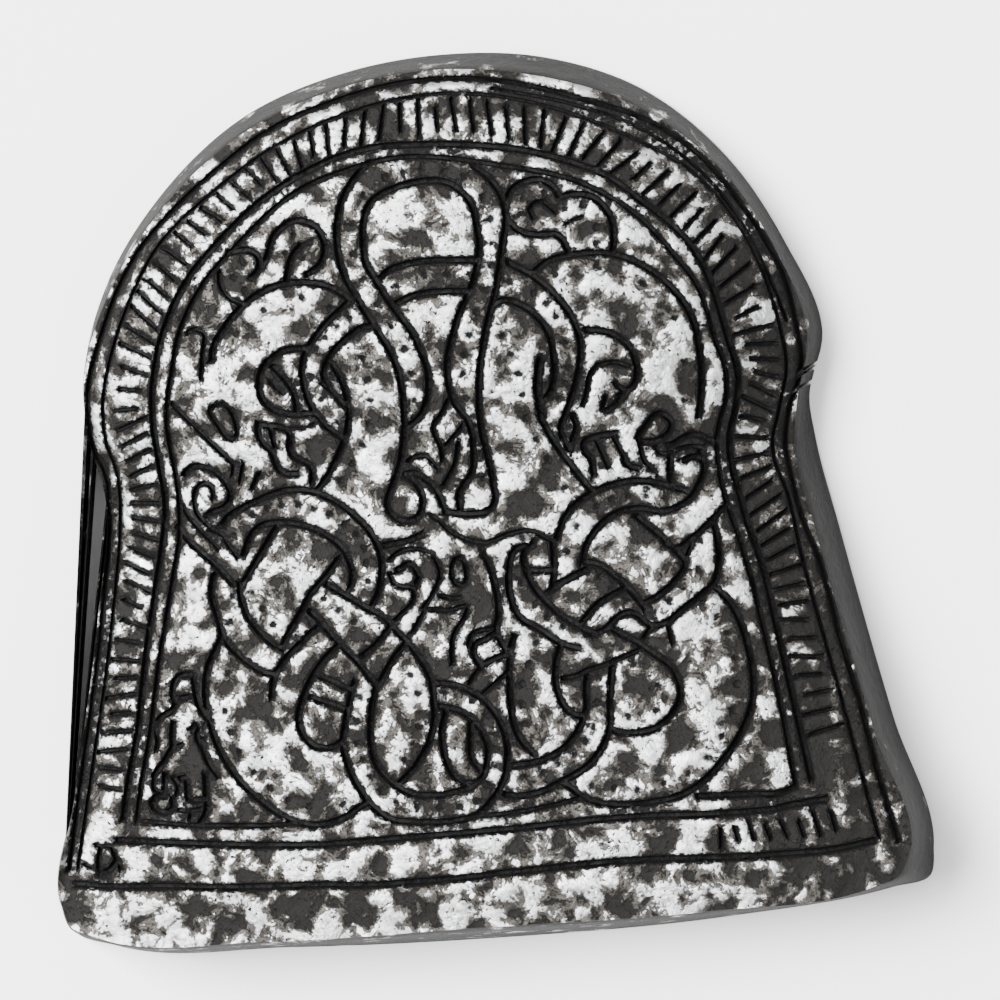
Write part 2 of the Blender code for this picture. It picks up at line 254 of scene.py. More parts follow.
# %% Curls above the two heads
TOP_CURLS = (
    (WIDE, (
        (-13.3, 45.7), (-12.8, 46.05), (-12.3, 46.75), (-11.6, 48.45), (-10.2, 49.3), (-8.7, 48.75),
        (-8.2, 47.15), (-8.5, 46.35), (-9.5, 45.65))),
    (WIDE, ((-9.9, 47.55), (-10.35, 47.1), (-10.95, 45.2))),
    (WIDE, ((-14.9, 47.35), (-13.3, 47.4), (-12.85, 47.05), (-12.75, 46.4), (-13.1, 45.8))),
    (MIDDLE, ((-15.6, 46), (-15.6, 45.4), (-14.8, 44.2), (-14.1, 43.9))),
    (WIDE, (
        (8.4, 46.2), (7.75, 47.45), (6.2, 47.6), (5.3, 47.8), (4.3, 48.8), (4.6, 50.6), (6.9, 51.15),
        (7.5, 50.7), (7.85, 50.1))),
    (MIDDLE, ((6, 48.85), (5.8, 49.3), (6.75, 49.8), (7.15, 49.45), (7.55, 49.1))),
    (WIDE, ((7.95, 50), (8.6, 50.15), (10.1, 49.9), (11.15, 48.7), (11.4, 47.1), (11.25, 46.2))),
    (FINE, ((8.2, 48.2), (8.8, 48.5), (9.3, 48.6))),
)

# %% The left head, its eye, ear ring and jaw
LEFT_HEAD = (
    (WIDE, ((-16.35, 40.2), (-16.3, 40.8), (-15.4, 42.3), (-12, 44.9), (-7, 44.15), (-6.5, 43.6))),
    (WIDE, ((-6.55, 43.85), (-8.95, 41.65), (-9.95, 40.15), (-8.85, 35.55), (-7.65, 34.55))),
    (WIDE, (
        (-5.2, 42), (-6, 41.9), (-6.8, 41.4), (-8.1, 40.2), (-8.7, 38.9), (-8.4, 38.1), (-7.4, 36.8))),
    (WIDE, ((-8.25, 39.9), (-7.45, 38.4), (-7.4, 34.6), (-7.85, 33.7), (-8.95, 31.8), (-9.55, 31.1))),
    (FINE, ((-8.85, 38.3), (-7.5, 36.9))),
    (WIDE, (
        (-9.65, 40.7), (-11.55, 40.55), (-12.95, 39.35), (-13.05, 37.55), (-12.55, 36.85),
        (-10.85, 36.25), (-9.85, 36.3), (-9.45, 36.25))),
    (WIDE, ((-12.2, 39.6), (-11.7, 39.1), (-10.65, 36.8), (-10.7, 36.4))),
    (FINE, ((-12.3, 38.4), (-11.6, 37.7))),
    (WIDE, (
        (-13.4, 35.7), (-11.3, 35.1), (-11.2, 33.6), (-10.7, 33.2), (-10.1, 32.9), (-9.8, 32.4),
        (-9.85, 31.7))),
    (WIDE, (
        (-13.4, 35.65), (-13.4, 34.95), (-13.1, 34.35), (-12.6, 33.85), (-12.1, 32.55), (-11.5, 32.25),
        (-10.9, 32.25))),
    (MIDDLE, ((-12.6, 35.6), (-12.3, 34.1))),
    (FINE, ((-11.2, 35.3), (-10, 35.4), (-9.6, 35.6))),
    (MIDDLE, (
        (-16.7, 36.85), (-15.8, 37.2), (-14.9, 35.55), (-15, 34.85), (-15.3, 34.75), (-16.2, 35.75),
        (-16.7, 36.85))),
    (MIDDLE, ((-19.4, 37.3), (-15.3, 33.1))),
    (MIDDLE, ((-18, 42.1), (-17.4, 42.3), (-16.9, 42.1), (-17, 40.6), (-17.2, 38.9))),
    (FINE, ((-15.3, 33), (-15.4, 32.4))),
    (FINE, ((-14.6, 33.1), (-14.9, 31.9))),
    (MIDDLE, ((-13.55, 32.35), (-14.05, 31.35))),
)

# %% The left mouth and its curled lip
LEFT_MOUTH = (
    (WIDE, (
        (-18.8, 32.5), (-18.3, 32.9), (-16.8, 32.7), (-15.6, 30.8), (-15.9, 30.3), (-17.1, 29.8))),
    (MIDDLE, (
        (-16.8, 30.85), (-16.9, 31.55), (-17.4, 31.85), (-17.9, 31.55), (-18.1, 30.15), (-17.3, 29.05),
        (-16.8, 28.75))),
    (MIDDLE, ((-19, 30.3), (-18.7, 29.8), (-16.6, 27.4))),
    (WIDE, ((-19.3, 28.85), (-18.8, 28.15), (-17.2, 26.65), (-15.7, 25.05))),
    (MIDDLE, ((-17.05, 28.7), (-16.55, 28.5), (-15.65, 27.3), (-15.25, 26.8))),
)

# %% The right head, its ear and eye
RIGHT_HEAD = (
    (WIDE, (
        (5.95, 45.1), (6.65, 45.65), (8.65, 46.15), (11.05, 46.1), (16.55, 40.9), (16.7, 39.9),
        (16.8, 37.5), (16.45, 34.85))),
    (WIDE, ((4.2, 45.85), (5.8, 44.9), (8.75, 40.9), (7.6, 35.5), (7.2, 34.6), (7.65, 33.2))),
    (WIDE, (
        (3.05, 43), (3.65, 43.3), (5.15, 42.85), (6.55, 41.4), (7, 39.5), (6.55, 36.9), (6.05, 36.3))),
    (BROAD, ((6.15, 39.3), (5.95, 38.5), (5.85, 36.5), (6, 35.6))),
    (WIDE, ((5.85, 35.5), (6.2, 34.7), (7.95, 31.8), (9.05, 30.35))),
    (WIDE, ((9.2, 41.1), (10.8, 40.8), (12.1, 39.8), (12.3, 37.3), (11.2, 36.5))),
    (MIDDLE, ((9.9, 38.7), (11.2, 38.8), (12, 38.5))),
    (MIDDLE, ((9.9, 38.7), (9.4, 38.1), (9, 36.6), (8.8, 36.1))),
    (WIDE, ((11.65, 36.65), (10.95, 35.95), (10.25, 35.55))),
    (MIDDLE, ((11, 37.5), (11.4, 37), (11.8, 36.9))),
    (MIDDLE, ((10.3, 36.5), (10.1, 35.9))),
    (WIDE, (
        (12.35, 33.75), (12.75, 34.25), (13.85, 35.25), (14.65, 34.55), (14.45, 33.95), (13.15, 33.35),
        (12.45, 33.45), (12.35, 33.75))),
    (WIDE, ((7.75, 32.95), (8, 33.85), (8.3, 34.65), (8.1, 35.35))),
)

# %% The small figure and the lip at the right head
RIGHT_FIGURE = (
    (WIDE, ((8.8, 33.65), (9.4, 33.85), (10.9, 34.05))),
    (WIDE, ((8.7, 33.55), (8.7, 32.95), (9.1, 32.55), (9.3, 31.35))),
    (MIDDLE, ((9.5, 33.8), (10.3, 31.8))),
    (MIDDLE, ((10.7, 33.9), (11.5, 32.2))),
    (WIDE, ((11.4, 32.15), (11.8, 31.75), (12.2, 31.65))),
    (MIDDLE, ((12.5, 33.15), (12.6, 32.45), (12.9, 31.85), (13.5, 31.25))),
    (MIDDLE, ((13.5, 33), (13.7, 32.6), (14.2, 32.5))),
    (WIDE, ((14.6, 33.1), (16, 33.7), (17.2, 33.2))),
    (WIDE, ((14.5, 32.45), (14.4, 30.85), (14.6, 30.25))),
    (MIDDLE, ((15.1, 32.8), (15.8, 32.9), (16.6, 32.8))),
    (WIDE, ((15.3, 32), (15.8, 32.2), (16.4, 32.1), (16.8, 31.6))),
    (WIDE, ((18.1, 28.95), (15.6, 26.75), (14.5, 26.15), (13.9, 26.55))),
    (WIDE, ((17.1, 27.95), (17.3, 27.15), (17.3, 24.55), (17, 23.55))),
    (MIDDLE, ((15.9, 27), (15.1, 25.1))),
)

# %% The left loop and the strands that cross under it
LEFT_LOOP = (
    (WIDE, (
        (-16.15, 29.1), (-15.95, 29.4), (-15.15, 29.9), (-13.05, 30.8), (-12.05, 31.1), (-9.75, 31),
        (-8.65, 30.5), (-5.35, 26.5), (-5.8, 23.7), (-6.15, 23.1))),
    (WIDE, (
        (-14.85, 26.85), (-14.15, 28.35), (-13.55, 28.85), (-12.65, 29), (-7.55, 26.35),
        (-7.35, 25.45), (-7.45, 24.65))),
    (WIDE, ((-12.4, 28.8), (-15, 24.9))),
    (WIDE, ((-15.15, 25.05), (-15.15, 24.25), (-13.95, 21.75), (-12.65, 20.65), (-12.35, 20.55))),
    (WIDE, ((-12.4, 20.6), (-12, 21.4), (-10.9, 23.1), (-10.4, 24), (-9.1, 25.4), (-8.3, 26.4))),
    (WIDE, ((-9.2, 24.8), (-6.5, 23.1), (-5, 22.1), (-4.6, 21.6))),
    (WIDE, ((-10.4, 23), (-9.7, 22.3), (-9.1, 21.5), (-7, 19.2), (-6.1, 17.9))),
    (WIDE, (
        (-9.85, 21.9), (-10.45, 21.5), (-11.05, 20.9), (-12.35, 19.7), (-13.05, 18.5), (-13.25, 17.3))),
    (WIDE, (
        (-8.55, 20.6), (-9.15, 20.1), (-10.95, 17.5), (-11.45, 15.5), (-10.55, 14), (-8.95, 13.9),
        (-8.45, 14.3))),
    (WIDE, ((-6.85, 19.9), (-6.15, 20.4), (-4.95, 21.7))),
    (WIDE, ((-5.85, 17.9), (-4.85, 19.5), (-3.75, 20.8))),
    (WIDE, ((-10.05, 18.7), (-7.75, 17.6))),
    (WIDE, ((-10.6, 17.25), (-8.3, 16.35))),
    (WIDE, ((-7.55, 18.05), (-8.25, 15.35), (-8.45, 14.35), (-7.75, 11.55), (-6.95, 10.15))),
    (WIDE, (
        (-16.95, 25.65), (-17.15, 24.85), (-16.65, 22.25), (-16.45, 21.45), (-15.85, 20.65),
        (-14.35, 19.35), (-13.65, 18.95), (-13.15, 18.85))),
)

# %% The right loop and its strands
RIGHT_LOOP = (
    (WIDE, ((6.6, 27.2), (7.3, 28.7), (12.3, 30.8), (15.3, 30))),
    (WIDE, (
        (8.3, 25.6), (8.5, 26.4), (11.1, 28.85), (12, 28.95), (14, 28.7), (15.7, 29.5), (16.2, 30.2),
        (16.7, 31.9), (16.4, 32.6))),
    (WIDE, ((8.35, 25.55), (9.05, 25.45), (10.75, 24.25), (12.35, 22.35))),
    (WIDE, ((6.1, 23.75), (7.6, 24.65), (8.5, 25))),
    (WIDE, ((7.9, 21.3), (9.2, 22.7), (11.1, 23.7))),
    (WIDE, (
        (12.05, 28.45), (14.15, 26.45), (15.15, 25.15), (14.05, 23.65), (13.25, 23.05), (12.35, 22.65))),
    (WIDE, (
        (8.65, 20.65), (9.55, 20.95), (10.75, 21.95), (11.45, 22.05), (12.75, 21.15), (13.35, 21.15),
        (14.95, 22.15), (16.75, 23.45))),
    (WIDE, (
        (10.15, 21), (12.65, 19.4), (14.05, 18.2), (14.55, 16.6), (12.95, 14.4), (10.95, 14.05),
        (10.05, 14.2), (9.75, 14.4))),
    (MIDDLE, ((13.05, 21.2), (12.55, 20.8), (12.25, 20.4))),
    (MIDDLE, ((13.9, 21), (14.1, 20))),
    (MIDDLE, ((6.55, 17.85), (7.45, 17.95), (8.35, 18.35), (9.15, 18.55), (11.85, 19.55))),
    (WIDE, ((6.6, 20), (6.3, 19.2), (7.4, 15.4), (7.9, 15.3))),
    (WIDE, ((8.3, 17.95), (8.2, 17.05), (8.2, 16.05), (6.3, 13.05), (4.6, 12.35), (2.9, 12.15))),
    (WIDE, (
        (10, 18.45), (9.8, 16.55), (9.5, 13.85), (8.4, 12.25), (5.8, 10.75), (4.9, 10.35),
        (3.1, 10.15), (2.4, 10.25))),
    (WIDE, ((3.5, 20.8), (3.2, 20), (3.1, 19), (3.1, 16), (3.2, 15), (3.9, 13.5), (4.4, 13))),
)

# %% The round bodies at the bottom
LOWER_BODIES = (
    (WIDE, (
        (-16.65, 21.3), (-17.55, 19.6), (-15.95, 12.1), (-10.05, 8.65), (-8.15, 9.3), (-7.45, 9.8),
        (-6.95, 10))),
    (WIDE, (
        (-6.9, 10.05), (-5.6, 8.95), (-3.5, 8.6), (-0.5, 8.7), (0.5, 8.95), (1.2, 9.55), (2.3, 11.05),
        (2.6, 14.25), (1.3, 16.55), (-1, 17.75), (-2, 17.85))),
    (WIDE, ((-5.95, 18), (-6.25, 17), (-5.95, 12.1), (-3.85, 10.5), (-1.75, 10.4), (0.15, 10.8))),
    (WIDE, (
        (-4.55, 21.55), (-3.45, 20.25), (-2.25, 17.95), (-2.15, 16.95), (-2.25, 14.95), (-4.25, 11.65),
        (-4.85, 11.15))),
    (WIDE, (
        (-1.3, 16.2), (-1.7, 14.3), (-0.2, 11.1), (0.5, 11.1), (1.4, 13.3), (-0.3, 15.9), (-1.8, 16.3))),
    (WIDE, ((0.3, 15), (0.4, 12.5), (0.8, 12))),
    (WIDE, (
        (17.1, 23.45), (17.7, 22.85), (19.2, 19.05), (19.3, 15.85), (17.4, 12.25), (14.7, 9.95),
        (12.1, 9.35), (7.5, 10.05), (6.8, 10.65), (6.4, 10.85))),
)

# %% The little figure between the loops
MIDDLE_FIGURE = (
    (WIDE, ((-5.2, 27.2), (-3.4, 27.5), (-2.6, 27.8))),
    (MIDDLE, (
        (-1.8, 29.1), (-1.2, 28.7), (-0.7, 28.1), (0.1, 27.6), (1.7, 27.1), (3.3, 27.6), (4.9, 27.8),
        (6.2, 27.1))),
    (MIDDLE, ((-4.7, 26.3), (-4.2, 26.7), (-1.9, 26.5), (-1.35, 25.3), (-1.8, 24), (-2.6, 22.9))),
    (WIDE, ((-4.3, 25.5), (-3.4, 25.9), (-3, 25.5), (-2.8, 25), (-3, 24.6))),
    (MIDDLE, ((-4.75, 25.2), (-4.6, 24.7), (-4, 24.4), (-3.3, 24.3), (-3.2, 23.7), (-4.5, 22.2))),
    (MIDDLE, ((-2.5, 22.75), (-3.4, 21.35))),
    (MIDDLE, (
        (0.05, 26.2), (0.35, 25.8), (0.05, 24.3), (-0.35, 24.5), (-0.55, 25.6), (-0.35, 26.1),
        (0.05, 26.2))),
    (MIDDLE, ((-1.3, 23.7), (-0.8, 23.5), (-0.2, 23.5))),
    (MIDDLE, (
        (-1.8, 22.8), (-1, 22.7), (0.4, 22.9), (0, 21.9), (-0.4, 21.4), (-0.8, 19.9), (-0.75, 19.2))),
    (MIDDLE, ((2, 21.4), (0.6, 21), (0.4, 20.4))),
    (WIDE, (
        (1.65, 26.3), (2.05, 25.5), (2.25, 24.7), (2.45, 22), (2.25, 21.2), (2.55, 20.5), (2.85, 19.9),
        (3.25, 19.6))),
    (WIDE, ((2.2, 21.05), (1.5, 20.65), (0.8, 20.35), (0.7, 19.75), (1, 19.15), (1.2, 18.65))),
    (WIDE, ((1.1, 18.9), (2.6, 19.5), (3.1, 19.6))),
    (MIDDLE, ((1.1, 18.8), (0.3, 17.8))),
    (MIDDLE, ((1.2, 17), (2.8, 18.3))),
    (WIDE, ((6.2, 25.1), (5.3, 25.1), (4.6, 25.2), (4.4, 26.4), (4.9, 26.8))),
    (WIDE, ((4.4, 26.8), (3.8, 26.6), (3.3, 25.1), (4.2, 21.8), (4.9, 21.4), (7.1, 20), (7.8, 19.8))),
    (WIDE, ((4.5, 25), (5.1, 23.8), (5.6, 23.2), (6.9, 21.9), (7.6, 21.5), (8.3, 21), (9, 20.7))),
    (WIDE, ((6.35, 26.95), (6.3, 24.55), (6.2, 24.15), (7, 24.35), (8.5, 25.05))),
)

# %% The lines inside the knot
KNOT_FIGURE = (
    (MIDDLE, ((-3.25, 32.8), (-2.65, 33.1), (-2.05, 33.1), (-1.25, 32.3))),
    (MIDDLE, ((-0.3, 36.8), (-0.9, 35.7), (-1.3, 35.3), (-0.9, 33.4), (-0.9, 32.8))),
    (MIDDLE, ((0.5, 34.9), (-0.9, 33.4))),
    (MIDDLE, ((0.25, 33.9), (-0.05, 32.5), (-0.85, 31.1))),
    (WIDE, ((-3.6, 31.9), (-2.9, 32), (-2.3, 31.7), (-1.1, 30.2), (-0.9, 29.5))),
    (MIDDLE, ((0.95, 31.6), (0.45, 31.2), (0.25, 29.9))),
)

# %% The figure in the lower left corner
CORNER_FIGURE = (
    (WIDE, (
        (-18.85, 18.95), (-19.45, 18.95), (-19.95, 18.65), (-20.15, 17.95), (-20.15, 17.35),
        (-19.95, 16.95))),
    (WIDE, ((-20.3, 17.45), (-19.8, 17.35), (-19.2, 17.45))),
    (WIDE, ((-18.7, 18.9), (-18.1, 16.4), (-17.8, 16))),
    (WIDE, ((-19.9, 17.05), (-20.3, 16.55), (-20.9, 16.25), (-21.4, 15.75), (-21.5, 15.15))),
    (WIDE, ((-20.2, 15.7), (-20.3, 14.9), (-20.3, 14.2), (-20.7, 13.5), (-21.7, 12.2))),
    (MIDDLE, ((-21.55, 15.3), (-21.35, 14.6), (-21.45, 14))),
    (MIDDLE, (
        (-19, 15.3), (-18.7, 15.7), (-18.4, 15.4), (-18.6, 15), (-18.2, 13.9), (-17.6, 12.6),
        (-17.2, 12.1))),
    (WIDE, ((-18.2, 14.6), (-18.1, 13.8), (-17.9, 13.2))),
    (MIDDLE, ((-19.7, 14.25), (-20.2, 14.05), (-20.6, 13.75))),
    (WIDE, ((-20.9, 12.2), (-21, 11))),
    (WIDE, (
        (-21.05, 10.8), (-21.65, 10.8), (-21.95, 10.4), (-21.05, 9.7), (-20.45, 10), (-20.45, 10.7))),
    (MIDDLE, ((-21.7, 11.9), (-21.7, 11.3), (-21.2, 11.1))),
    (MIDDLE, ((-20.3, 12), (-20, 11.4), (-20.1, 11))),
    (WIDE, ((-18.05, 12.05), (-18.05, 10.55), (-18.05, 9.85), (-18.55, 8.95))),
    (WIDE, ((-18.15, 10.55), (-19.35, 10.65), (-19.35, 11.35), (-19.55, 12.05), (-19.95, 11.95))),
    (MIDDLE, ((-20.1, 9.9), (-19.4, 9.8), (-18.6, 9.9))),
    (FINE, ((-19.2, 9.7), (-19.3, 9.3))),
)

GROUPS = (
    FRAME, TOP_KNOT, TOP_CURLS, LEFT_HEAD, LEFT_MOUTH, RIGHT_HEAD, RIGHT_FIGURE, LEFT_LOOP, RIGHT_LOOP,
    LOWER_BODIES, MIDDLE_FIGURE, KNOT_FIGURE, CORNER_FIGURE)
print("carved lines:", sum(len(group) for group in GROUPS))

# %% [markdown]
# ## Marks in the band
# The band carries a row of short strokes across it. They stand in for writing and say nothing: a loop sets
# each one with its own lean and length, from a seeded random generator, so that every run gives the same.

# %% Band marks
MARK_SPACING = 1.2       # millimetres from one stroke to the next
MARK_WIDTH = 0.34
MARK_LENGTHS = (1.3, 2.3)
FOOT_MARK_SPACING = 1.1
FOOT_MARK_LENGTHS = (0.9, 1.5)
MARK_LEAN = 0.3          # radians, the most that the rows lean either way
LEAN_PER_MARK = 0.4      # how fast the lean swings, in radians of its wave
LEAN_SCATTER = 0.07
MARK_SHIFT = 0.2         # millimetres that a stroke may slide along itself
BAND_MIDDLE = (
    (-25.2, 10.2), (-24.3, 15.2), (-23.4, 20), (-22.5, 25), (-21.9, 29.5), (-22.0, 32.7), (-22.6, 37),
    (-21.8, 41), (-20.1, 45.2), (-17.2, 49.2), (-12.9, 52.3), (-7.8, 54.7), (-1.5, 55.8), (4.5, 55.2),
    (10.2, 53.3), (15.2, 49.8), (18.6, 45.2), (20.4, 40.5), (20.8, 37.5), (20.1, 34.5), (19.9, 32),
    (20.9, 27.6), (22.4, 21), (24.3, 12.4))
FOOT_BAND = ((15.8, 7.0), (20, 7.15), (25.5, 7.6))


def marks_along(path, spacing, lengths, seed):
    """Short strokes across a path. They lean slowly one way and then the other, so that no two meet."""
    rng = random.Random(seed)
    line = drawn_line(path, spacing)
    ahead = np.gradient(line, axis=0)
    marks = []
    for number, (place, step) in enumerate(zip(line[1:-1], ahead[1:-1])):
        lean = MARK_LEAN * math.sin(LEAN_PER_MARK * number) + rng.uniform(-LEAN_SCATTER, LEAN_SCATTER)
        angle = math.atan2(step[1], step[0]) + math.pi / 2 + lean
        half = rng.uniform(*lengths) / 2
        shift = rng.uniform(-MARK_SHIFT, MARK_SHIFT)
        across = np.array((math.cos(angle), math.sin(angle)))
        middle = place + shift * across
        marks.append((MARK_WIDTH, (tuple(middle - half * across), tuple(middle + half * across))))
    return marks


BAND_MARKS = marks_along(BAND_MIDDLE, MARK_SPACING, MARK_LENGTHS, 4)
BAND_MARKS += marks_along(FOOT_BAND, FOOT_MARK_SPACING, FOOT_MARK_LENGTHS, 9)
print("marks:", len(BAND_MARKS))

# %% [markdown]
# ## Punched dots
# Rows of small punched dots follow the middles of the serpent bodies. Each row is a spacing in millimetres
# and the points of its line.

# %% Dot rows
DOT_RADIUS = 0.17        # millimetres
DOT_ROWS = (
    # the knot's long strand, up the left side and down the right
    (1.55, (
        (-3.1, 34.5), (-2.6, 36.9), (-3.1, 40.4), (-4.8, 43.4), (-6.3, 46.9), (-6.3, 48.9),
        (-5.4, 50.9), (-3.9, 51.9), (-1.35, 52.35), (1.5, 51.65), (2.65, 50.3), (3.2, 47.2),
        (2.55, 44.1), (1.4, 41.1), (0.8, 38.5), (0.9, 36.9), (1.5, 35), (1.8, 31.5))),
    # the strand across the knot and the arches on both sides
    (1.4, ((-3.4, 44.6), (-1.5, 45.2), (1.6, 45.2))),
    (1.3, ((-5.6, 43.1), (-7.6, 42.1), (-9.1, 40.6), (-9.4, 38.8), (-8.9, 37.2), (-7.9, 35.6))),
    (1.3, ((4.3, 44.5), (5.9, 43.7), (7.3, 42.1), (7.9, 40.3), (7.9, 38.6), (7.2, 36.6))),
    # the two bodies that run down from the arches
    (1.7, ((-6.0, 39.9), (-5.6, 37), (-6.3, 34), (-7.9, 31.7))),
    (1.7, ((3.6, 41), (4.6, 38.4), (4.9, 35.4), (6.3, 32.5), (7.3, 30.6))),
    # curls and crowns of the two heads
    (1.0, ((-13.9, 46.6), (-14.6, 45.7), (-13.9, 44.8))),
    (1.0, ((-10.9, 47.2), (-10.3, 48.4), (-9.2, 47.8), (-9.7, 46.8))),
    (1.2, ((5.2, 49), (5.4, 50.1), (6.8, 50.4))),
    (1.3, ((8.2, 49.3), (9.4, 49.3), (10.3, 47.9), (10.2, 46.9))),
    (2.2, ((-14.6, 41.9), (-12.6, 43.4), (-9.9, 44.1), (-8, 43.4))),
    (2.2, ((7.4, 45), (10.2, 45.2), (13.2, 44), (15.2, 41.6), (15.7, 38.6), (15.5, 36))),
    # the two loops
    (1.35, (
        (-15.4, 28.2), (-14.1, 29.6), (-12, 30.2), (-9.8, 29.9), (-7.8, 28.8), (-6.5, 27.1),
        (-6.3, 24.9))),
    (1.35, ((7.3, 26.3), (8, 28), (9.4, 29.3), (11.5, 29.9), (14, 29.6))),
    (1.4, ((-9.4, 23.8), (-7.4, 22.2), (-5.8, 21))),
    (1.4, ((-11.4, 21.4), (-10.3, 22.2), (-8.6, 20.9))),
    (1.4, ((-14.3, 24.4), (-12.9, 22.2))),
    (1.4, ((9.4, 24.6), (11.2, 23))),
    (1.4, ((13, 22), (15, 23.5), (16, 24.7), (16.2, 26.6))),
    (1.4, ((4.1, 24.4), (5, 22.8), (6.8, 21.4), (8.3, 20.7))),
    # the round bodies at the bottom
    (1.8, (
        (-15.7, 24.2), (-16.2, 19), (-16.5, 16.5), (-15.6, 13.7), (-13.6, 11.2), (-11, 9.9), (-8.6, 10))),
    (1.8, (
        (16.2, 22.6), (17.8, 20.4), (18.3, 17), (17.2, 13.6), (14.8, 11.2), (11.4, 10.3), (8.3, 10.7))),
    (1.45, (
        (-7.2, 17.1), (-7.5, 14), (-6.7, 11.8), (-5, 10), (-2, 9.5), (0.5, 9.9), (1.9, 12.2),
        (1.9, 14.4), (0.5, 16.6), (-1.4, 17.2))),
    (1.6, ((-4.3, 12.8), (-3.2, 15), (-3.2, 17.2), (-4.3, 19.9))),
    (1.45, ((2.6, 11.3), (5, 11.7), (7.2, 12.8), (8.6, 14.6), (9.1, 17.9))),
    (1.6, ((3.9, 14.9), (3.9, 17.6), (5, 20.3))),
    (1.7, ((11, 15.2), (12.9, 15.5), (13, 17.2), (11.4, 18.6))),
)
print("rows of dots:", len(DOT_ROWS))

# %% [markdown]
# ## Where the lines and dots lie
# Two numbers are worked out for any point of the face: how deep the carving is there, and the gap to the
# nearest cut, which is negative inside one. The gap also goes to the material, which darkens the cuts.

# %% Carving depth and gap
WALL_SHARE = 0.28        # each sloping wall takes this share of a groove's width
GAP_LIMIT = 2.0          # gaps are not measured further than this, in millimetres
LEAST_DEPTH = 0.16       # depth of a groove with no width, and what each millimetre of width adds
DEPTH_PER_WIDTH = 0.55
LINE_SPACING = 0.36      # millimetres between the points along a groove


def groove_depth(width):
    """Wider grooves are cut deeper."""
    return LEAST_DEPTH + DEPTH_PER_WIDTH * width


def all_grooves():
    """Every groove as (width, smooth line)."""
    grooves = []
    for group in GROUPS + (BAND_MARKS,):
        for width, points in group:
            grooves.append((width, drawn_line(points, LINE_SPACING)))
    return grooves


def all_dots():
    """The middle of every punched dot."""
    rows = [drawn_line(points, spacing) for spacing, points in DOT_ROWS]
    return np.vstack(rows)


def measure_carving(points, grooves, dots):
    """The carving's depth, and the gap to the nearest groove or dot, at each point."""
    depth = np.zeros(len(points))
    gap = np.full(len(points), GAP_LIMIT)
    for width, line in grooves:
        reach = width / 2 + GAP_LIMIT
        near = np.all((points > line.min(axis=0) - reach) & (points < line.max(axis=0) + reach), axis=1)
        where = np.nonzero(near)[0]
        edge_gap = distance_to_line(points[where], line) - width / 2
        gap[where] = np.minimum(gap[where], edge_gap)
        wall = np.clip(-edge_gap / (WALL_SHARE * width), 0, 1)
        depth[where] = np.maximum(depth[where], wall * groove_depth(width))
    for dot in dots:
        where = np.nonzero(np.abs(points - dot).max(axis=1) < DOT_RADIUS + GAP_LIMIT)[0]
        dot_gap = np.linalg.norm(points[where] - dot, axis=1) - DOT_RADIUS
        gap[where] = np.minimum(gap[where], dot_gap)
        depth[where] = np.maximum(depth[where], np.clip(-dot_gap, 0, 1))
    return depth, gap


# %% [markdown]
# ## The face's mesh
# A plain grid would leave the grooves with stepped edges. A triangulation that keeps given edges puts
# points exactly on each lip, so the lips are crisp with few triangles. Four lines follow each groove: its
# two lips and the two edges of its floor. A staggered grid of points fills the open ground.

# %% Drawing of the face
FILL_SPACING = 0.33      # millimetres between the points of open ground
FILL_CLEARANCE = 0.17    # and how far they stay from lips, dots and rim
RIM_CLEARANCE = 0.06     # a groove's side line breaks off this close to the rim
GRID_ROW = 0.866         # height of a triangle's row, as a share of its side


def side_steps(line):
    """Unit steps to the left of a line at each of its points."""
    ahead = np.gradient(line, axis=0)
    ahead /= np.maximum(np.linalg.norm(ahead, axis=1, keepdims=True), 1e-9)
    return np.column_stack((-ahead[:, 1], ahead[:, 0]))


def staggered_grid(low, high, spacing):
    """Points of a triangular grid over a box."""
    columns = np.arange(low[0], high[0], spacing)
    heights = np.arange(low[1], high[1], spacing * GRID_ROW)
    x, y = np.meshgrid(columns, heights)
    x[1::2] += spacing / 2
    return np.column_stack((x.ravel(), y.ravel()))


def dot_ring(dot):
    """A dot's middle and the six points round its edge."""
    turns = np.arange(6) * math.tau / 6
    ring = dot + DOT_RADIUS * np.column_stack((np.cos(turns), np.sin(turns)))
    return np.vstack((dot, ring))


def face_drawing(grooves, dots):
    """All points of the face and the edges that its triangles keep."""
    closed_rim = np.vstack((RIM, RIM[:1]))
    points = [RIM]
    edges = [(i, (i + 1) % len(RIM)) for i in range(len(RIM))]
    count = len(RIM)
    for width, line in grooves:
        floor = 0.5 - WALL_SHARE
        for share in (-0.5, -floor, floor, 0.5):
            side = line + share * width * side_steps(line)
            inside = distance_to_line(side, closed_rim) > RIM_CLEARANCE
            points.append(side)
            edges.extend(
                (count + i, count + i + 1) for i in range(len(side) - 1) if inside[i] and inside[i + 1])
            count += len(side)
    grid = staggered_grid(RIM.min(axis=0), RIM.max(axis=0), FILL_SPACING)
    gap = measure_carving(grid, grooves, dots)[1]
    clear = (gap > FILL_CLEARANCE) & (distance_to_line(grid, closed_rim) > FILL_CLEARANCE)
    points.append(grid[clear])
    points.extend(dot_ring(dot) for dot in dots)
    return np.vstack(points), edges


# %% Triangulate the face
MERGE_DISTANCE = 0.03    # points closer than this become one, in millimetres

grooves = all_grooves()
dots = all_dots()
drawn, edges = face_drawing(grooves, dots)
flat, _, triangles, origins, _, _ = delaunay_2d_cdt(
    [Vector(point) for point in drawn], edges, [], 1, MERGE_DISTANCE)
flat = np.array([(point.x, point.y) for point in flat])
depth, gap = measure_carving(flat, grooves, dots)
print("grooves:", len(grooves), "dots:", len(dots), "face triangles:", len(triangles))

